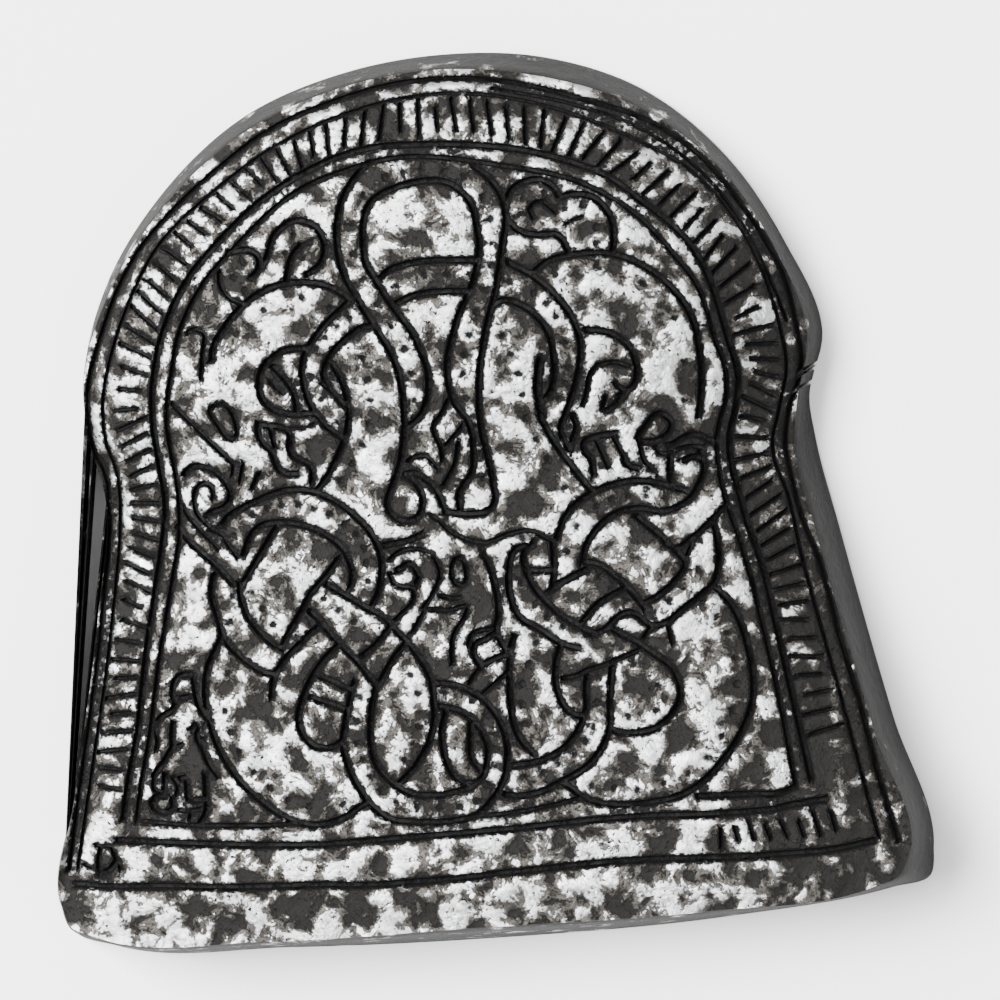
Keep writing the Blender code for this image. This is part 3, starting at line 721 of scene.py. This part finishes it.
# %% [markdown]
# ## Uneven ground
# The real stone was dressed by hand and the casting keeps its lumps and hollows. Blender's noise functions
# give them here, so that the shape and the material agree about where the hollows are.

# %% Hollows and lumps
WIDE_LUMPS = 2.2         # millimetres across
FINE_LUMPS = 0.9
FINE_SHARE = 0.7         # strength of the fine lumps beside the wide ones
HOLLOW_DEPTH = 0.09
HOLLOW_LEVEL = -0.1      # the ground is hollow where the field is above this
HOLLOW_EDGE = 3          # how steeply a hollow's side falls
WIDE_SLICE = 3.1         # each noise is cut at its own level, so that the two differ
FINE_SLICE = 8.7
LIP_ROUNDING = 0.07      # rubbed lips are this much lower than the ground beside them
LIP_REACH = 0.22         # millimetres over which that fades


def uneven_ground(x, y, z=0.0):
    """A field about -1 to 1 at a place in millimetres, high where the ground is hollow."""
    wide = noise.noise(Vector((x / WIDE_LUMPS, y / WIDE_LUMPS, WIDE_SLICE + z / WIDE_LUMPS)))
    fine = noise.noise(Vector((x / FINE_LUMPS, y / FINE_LUMPS, FINE_SLICE + z / FINE_LUMPS)))
    return wide + FINE_SHARE * fine


hollow = np.array([uneven_ground(x, y) for x, y in flat])
sunk = np.clip((hollow - HOLLOW_LEVEL) * HOLLOW_EDGE, 0, 1) * HOLLOW_DEPTH
lips = LIP_ROUNDING * np.exp(-np.maximum(gap, 0) / LIP_REACH)
heights = face_height(flat) - depth - sunk - lips
print("deepest point below the uncarved face:", (depth + sunk + lips).max())

# %% [markdown]
# ## The face as a mesh
# Each point becomes a vertex that remembers its gap and its hollow, for the material. A point of the rim
# also keeps the number of its station, for the flank.

# %% Build the face
stone = bmesh.new()
station = stone.verts.layers.int.new("station")
gap_layer = stone.verts.layers.float.new("line_gap")
hollow_and_flank_shade_layer = stone.verts.layers.float.new("hollow")
rim_height = face_height(RIM)
for place, height, point_gap, point_hollow, sources in zip(flat, heights, gap, hollow, origins):
    vert = stone.verts.new((place[0], place[1], height))
    vert[gap_layer] = point_gap
    vert[hollow_and_flank_shade_layer] = point_hollow
    for source in sources:
        if source < len(RIM):
            vert[station] = source + 1
            vert.co.z = rim_height[source]
stone.verts.ensure_lookup_table()
for triangle in triangles:
    stone.faces.new([stone.verts[i] for i in triangle])
print("face's triangles:", len(stone.faces))

# %% [markdown]
# ## The flank and the back
# The rim is extruded down the flank one ring at a time. Each new point keeps its station number, so it can
# be placed between its own pair of rail points. The last ring is closed with one flat face.

# %% Flank and back
FLANK_RINGS = 12
ROUNDED_EDGE = ((0.03, 0.99), (0.1, 0.95))   # shares of the way out, and of the rim's height
SLOPE_START = (0.2, 0.87)
SLOPE_END = (0.98, 0.08)
BACK_INSET = 0.12        # millimetres
FLANK_TARNISH_AND_SHADE = 0.9      # partly patina, partly painted shade on flanks that turn from the light: more of them counts as hollow


def flank_profile():
    """Rings below the rim: share of the way out to the outline, and share of the rim's height."""
    start = np.array(SLOPE_START)
    slope = np.array(SLOPE_END) - start
    rings = list(ROUNDED_EDGE)
    rings.extend(tuple(start + slope * step) for step in np.linspace(0, 1, FLANK_RINGS))
    return rings


def extrude_ring(shape, edges, places, heights):
    """Extrudes a loop of edges and moves its new points to the places of their stations."""
    made = bmesh.ops.extrude_edge_only(shape, edges=edges)["geom"]
    for vert in (item for item in made if isinstance(item, bmesh.types.BMVert)):
        index = vert[station] - 1
        vert.co = (places[index][0], places[index][1], heights[index])
        vert[gap_layer] = GAP_LIMIT
        # painted shade: raising the flanks' hollow value darkens them with tarnish, on top of their patina
        vert[hollow_and_flank_shade_layer] = uneven_ground(*vert.co) + FLANK_TARNISH_AND_SHADE
    return [item for item in made if isinstance(item, bmesh.types.BMEdge)]


ring = [edge for edge in stone.edges if edge.is_boundary]
for share, height_share in flank_profile():
    places = RIM + share * (OUTLINE - RIM)
    ring = extrude_ring(stone, ring, places, rim_height * height_share)
    ring = [edge for edge in ring if edge.is_boundary]
inward = RIM - OUTLINE
inward /= np.linalg.norm(inward, axis=1, keepdims=True)
ring = extrude_ring(stone, ring, OUTLINE + BACK_INSET * inward, np.zeros(len(OUTLINE)))
ring = [edge for edge in ring if edge.is_boundary]
bmesh.ops.contextual_create(stone, geom=ring)
bmesh.ops.recalc_face_normals(stone, faces=stone.faces)
bmesh.ops.triangulate(stone, faces=[face for face in stone.faces if len(face.verts) > 4])
print("open edges:", sum(edge.is_boundary for edge in stone.edges))

# %% [markdown]
# ## Its place
# The drawing's middle moves over the origin, as the solid's does, and millimetres become metres. The place
# goes into the mesh, so the object itself stays at the origin. Edges sharper than the set angle stay crisp.

# %% Place it over the solid
SHARP_ANGLE = math.radians(50)

outline_middle = (OUTLINE.min(axis=0) + OUTLINE.max(axis=0)) / 2
offset = Vector((-outline_middle[0], -outline_middle[1], 0))
bmesh.ops.translate(stone, vec=offset, verts=stone.verts)
bmesh.ops.scale(stone, vec=Vector((MM, MM, MM)), verts=stone.verts)

stone_data = bpy.data.meshes.new("carved_stone")
stone.to_mesh(stone_data)
stone.free()
stone_data.shade_smooth()
stone_data.set_sharp_from_angle(angle=SHARP_ANGLE)
carved_stone = bpy.data.objects.new("carved_stone", stone_data)
bpy.context.scene.collection.objects.link(carved_stone)
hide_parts("rune_stone")
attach(carved_stone, "root")
print("triangles:", sum(len(face.vertices) - 2 for face in stone_data.polygons))

# %% [markdown]
# ## Colours and nodes
# Hex colours are easy to compare with a colour picker, but shaders work in linear light, so one function
# turns them. Another adds a node with its settings and links, and gives back one of its outputs, which
# keeps a material readable as a list.

# %% Colour and node helpers
def linear(hex_colour):
    """An sRGB hex colour as linear red, green, blue and alpha."""
    values = [int(hex_colour[i:i + 2], 16) / 255 for i in (1, 3, 5)]
    return [v / 12.92 if v <= 0.04045 else ((v + 0.055) / 1.055) ** 2.4 for v in values] + [1.0]


def add_node(tree, kind, output, inputs, **settings):
    """Adds a node, sets its properties, fills each input with a value or a link, and returns an output."""
    node = tree.nodes.new(kind)
    for name, value in settings.items():
        setattr(node, name, value)
    for name, value in inputs.items():
        if isinstance(value, bpy.types.NodeSocket):
            tree.links.new(value, node.inputs[name])
        else:
            node.inputs[name].default_value = value
    return node.outputs[output]


print("white in linear light:", linear("#ffffff"))

# %% [markdown]
# ## Antiqued pewter
# Pewter is a soft white metal. The casting is blackened all over and then rubbed, so the black stays in
# the grooves and pits while the high ground shines. The material follows the same steps: bright metal,
# grey tarnish in the pits, and black where a cut is near. Each step is a mask, 0 or 1 with a short soft
# edge, made from noise at the size of the real grains and from the two numbers that each vertex carries.
# The tarnish also spreads as painted shade towards the right-hand edge and over the flanks.

# %% Masks for the wear and the painted shade
def per_mm(size):
    """Texture scale for a pattern whose grains are this many millimetres apart."""
    return 1 / (size * MM)


def wear_masks(tree):
    """The grains of the cast skin, and masks for its pits, deep pits, specks and cuts; the pits also hold
    painted shade on the right-hand side and the flanks.
    """
    place = add_node(tree, "ShaderNodeTexCoord", "Object", {})
    gap = add_node(tree, "ShaderNodeAttribute", "Fac", {}, attribute_name="line_gap")
    hollow = add_node(tree, "ShaderNodeAttribute", "Fac", {}, attribute_name="hollow")
    across = add_node(tree, "ShaderNodeSeparateXYZ", "X", {"Vector": place})
    masks = {}
    # grain size in millimetres, detail, roughness and distortion
    for name, size, detail, roughness, distortion in (
            ("fine", 0.45, 6, 0.7, 0.6), ("broad", 1.7, 6, 0.68, 0.5),
            ("dust", 0.3, 3, 0.6, 0.0), ("edge", 0.4, 4, 0.65, 0.0)):
        masks[name] = add_node(tree, "ShaderNodeTexNoise", "Fac", {
            "Vector": place, "Scale": per_mm(size), "Detail": detail,
            "Roughness": roughness, "Distortion": distortion})
    # painted shade: the tarnish thickens towards the right-hand edge, where the face turns away from the
    # light
    painted_shade_right = add_node(
        tree, "ShaderNodeMapRange", "Result", {"Value": across, "From Min": 15 * MM, "From Max": 24 * MM},
        interpolation_type="SMOOTHSTEP")
    # the wear field adds up the hollows, the grains and that painted shade
    worn = add_node(tree, "ShaderNodeMath", 0, {0: hollow, 1: 0.55}, operation="MULTIPLY")
    for layer, share in ((masks["broad"], 2.2), (masks["fine"], 1.0), (painted_shade_right, 0.3)):
        worn = add_node(tree, "ShaderNodeMath", 0, {0: layer, 1: share, 2: worn}, operation="MULTIPLY_ADD")
    masks["worn"] = worn
    # the noise makes the black's edge ragged, as it is where the rubbing stopped
    near_cut = add_node(
        tree, "ShaderNodeMath", 0, {0: masks["edge"], 1: 0.7, 2: gap}, operation="MULTIPLY_ADD")
    # the pit masks come from the wear field, so they carry the painted shade on the right-hand side and the
    # flanks too
    for name, source, low, high in (
            ("pit", worn, 1.52, 1.6), ("deep pit", worn, 1.74, 1.86),
            ("speck", masks["dust"], 0.63, 0.68), ("cut", near_cut, 0.47, 0.35),
            ("grey share", masks["fine"], 0.3, 0.7), ("dull share", masks["broad"], 0.3, 0.6)):
        masks[name] = add_node(
            tree, "ShaderNodeMapRange", "Result", {"Value": source, "From Min": low, "From Max": high},
            interpolation_type="SMOOTHSTEP")
    return masks


# %% Colour and relief of the pewter
def pewter_colour(tree, masks):
    """Bright metal, with grey tarnish in the pits and black in the deepest places and the cuts; the pit
    tarnish also spreads as painted shade on the right-hand side and the flanks.
    """
    tarnish = add_node(
        tree, "ShaderNodeMix", 2, {0: masks["grey share"], 6: linear("#171513"), 7: linear("#524f4b")},
        data_type="RGBA")
    colour = add_node(
        tree, "ShaderNodeMix", 2, {0: masks["dull share"], 6: linear("#c0c1c2"), 7: linear("#8c8d8e")},
        data_type="RGBA")
    for mask, darker in (
            ("pit", tarnish), ("deep pit", linear("#0c0b0a")), ("speck", linear("#080706")),
            ("cut", linear("#020202"))):
        colour = add_node(tree, "ShaderNodeMix", 2, {0: masks[mask], 6: colour, 7: darker}, data_type="RGBA")
    return colour


def pewter_relief(tree, masks):
    """The pits and specks are too small for the mesh, so they are pressed in by a bump."""
    height = add_node(tree, "ShaderNodeMath", 0, {0: masks["worn"], 1: -0.35}, operation="MULTIPLY")
    for mask, rise in (("pit", -0.35), ("deep pit", -0.35), ("speck", -0.4), ("cut", -0.5)):
        height = add_node(
            tree, "ShaderNodeMath", 0, {0: masks[mask], 1: rise, 2: height}, operation="MULTIPLY_ADD")
    return add_node(
        tree, "ShaderNodeBump", "Normal", {"Height": height, "Distance": 0.25 * MM, "Strength": 1.0})


# %% Antiqued pewter
def antiqued_pewter():
    """Cast pewter, blackened and then rubbed bright on its high ground."""
    material = bpy.data.materials.new("cast pewter, blackened and rubbed")
    material.use_nodes = True
    tree = material.node_tree
    shader = tree.nodes["Principled BSDF"]
    shader.inputs["Specular IOR Level"].default_value = 0.15
    masks = wear_masks(tree)
    black = masks["cut"]
    for mask in ("deep pit", "speck"):
        black = add_node(tree, "ShaderNodeMath", 0, {0: black, 1: masks[mask]}, operation="MAXIMUM")
    # what the bare metal has, and what a pit and the black add to it
    for socket, bare, pit_change, black_change in (
            ("Roughness", 0.3, 0.14, 0.25), ("Metallic", 1.0, -0.25, -0.74)):
        amount = add_node(
            tree, "ShaderNodeMath", 0, {0: masks["pit"], 1: pit_change, 2: bare}, operation="MULTIPLY_ADD")
        amount = add_node(
            tree, "ShaderNodeMath", 0, {0: black, 1: black_change, 2: amount}, operation="MULTIPLY_ADD")
        tree.links.new(amount, shader.inputs[socket])
    tree.links.new(pewter_colour(tree, masks), shader.inputs["Base Color"])
    tree.links.new(pewter_relief(tree, masks), shader.inputs["Normal"])
    return material


carved_stone.data.materials.append(antiqued_pewter())
print("nodes in the pewter:", len(carved_stone.data.materials[0].node_tree.nodes))

# %% [markdown]
# ## Floor, light and camera
# The floor is a sheet of matt white paper. A large soft light shines from the upper left and a weaker one
# from the right, under an even white room. The camera looks down on the lying stone from a little to the
# right, with a long lens, so that nearer parts look no larger than they are.

# %% Floor
FLOOR_REACH = 1.5        # metres from the middle to each side


def pale_floor():
    """A flat sheet under the stone, which belongs to the scene and not to the object."""
    floor = bmesh.new()
    bmesh.ops.create_grid(floor, x_segments=1, y_segments=1, size=FLOOR_REACH)
    floor_data = bpy.data.meshes.new("floor")
    floor.to_mesh(floor_data)
    floor.free()
    sheet = bpy.data.objects.new("floor", floor_data)
    bpy.context.scene.collection.objects.link(sheet)
    material = bpy.data.materials.new("white paper sweep")
    material.use_nodes = True
    shader = material.node_tree.nodes["Principled BSDF"]
    shader.inputs["Base Color"].default_value = linear("#f6f6f6")
    shader.inputs["Roughness"].default_value = 0.9
    floor_data.materials.append(material)


pale_floor()


# %% Lights
def soft_light(name, place, size, power):
    """A square area light that faces the origin, with places in metres and power in watts."""
    light = bpy.data.lights.new(name, "AREA")
    light.shape = "SQUARE"
    light.size = size
    light.energy = power
    lamp = bpy.data.objects.new(name, light)
    lamp.location = place
    lamp.rotation_euler = (-Vector(place)).to_track_quat("-Z", "Y").to_euler()
    bpy.context.scene.collection.objects.link(lamp)


soft_light("key", (-0.4, 0.22, 0.6), 0.45, 30)
soft_light("fill", (0.5, -0.5, 0.6), 0.3, 3)
world = bpy.data.worlds.new("pale room")
world.use_nodes = True
world.node_tree.nodes["Background"].inputs["Color"].default_value = linear("#ffffff")
world.node_tree.nodes["Background"].inputs["Strength"].default_value = 1.2
bpy.context.scene.world = world
print("lights:", [light.name for light in bpy.data.lights])

# %% Camera
CAMERA_RIGHT = math.radians(8.0)     # leans to the right of straight above
CAMERA_UP = math.radians(5.0)        # and towards the arch
CAMERA_ROLL = math.radians(3.1)      # the stone appears turned this much to the left
CAMERA_DISTANCE = 0.4                # metres
FOCAL_LENGTH = 212.8                 # millimetres, on a sensor 36 mm wide
AIM = Vector((2.5, 29.7, 4.0))       # point of the drawing that the camera looks at, in millimetres

away = Vector((math.sin(CAMERA_RIGHT) * math.cos(CAMERA_UP), math.sin(CAMERA_UP),
               math.cos(CAMERA_RIGHT) * math.cos(CAMERA_UP)))
up = (Vector((0, 1, 0)) - away * away.y).normalized()
right = up.cross(away)
turned_right = right * math.cos(CAMERA_ROLL) - up * math.sin(CAMERA_ROLL)
turned_up = up * math.cos(CAMERA_ROLL) + right * math.sin(CAMERA_ROLL)
lens = bpy.data.cameras.new("camera")
lens.lens = FOCAL_LENGTH
lens.sensor_width = 36
camera = bpy.data.objects.new("camera", lens)
spot = (AIM + offset) * MM + away * CAMERA_DISTANCE
turn = Matrix((turned_right, turned_up, away)).transposed()
camera.matrix_world = Matrix.Translation(spot) @ turn.to_4x4()
bpy.context.scene.collection.objects.link(camera)
bpy.context.scene.camera = camera
print("camera at:", tuple(spot))
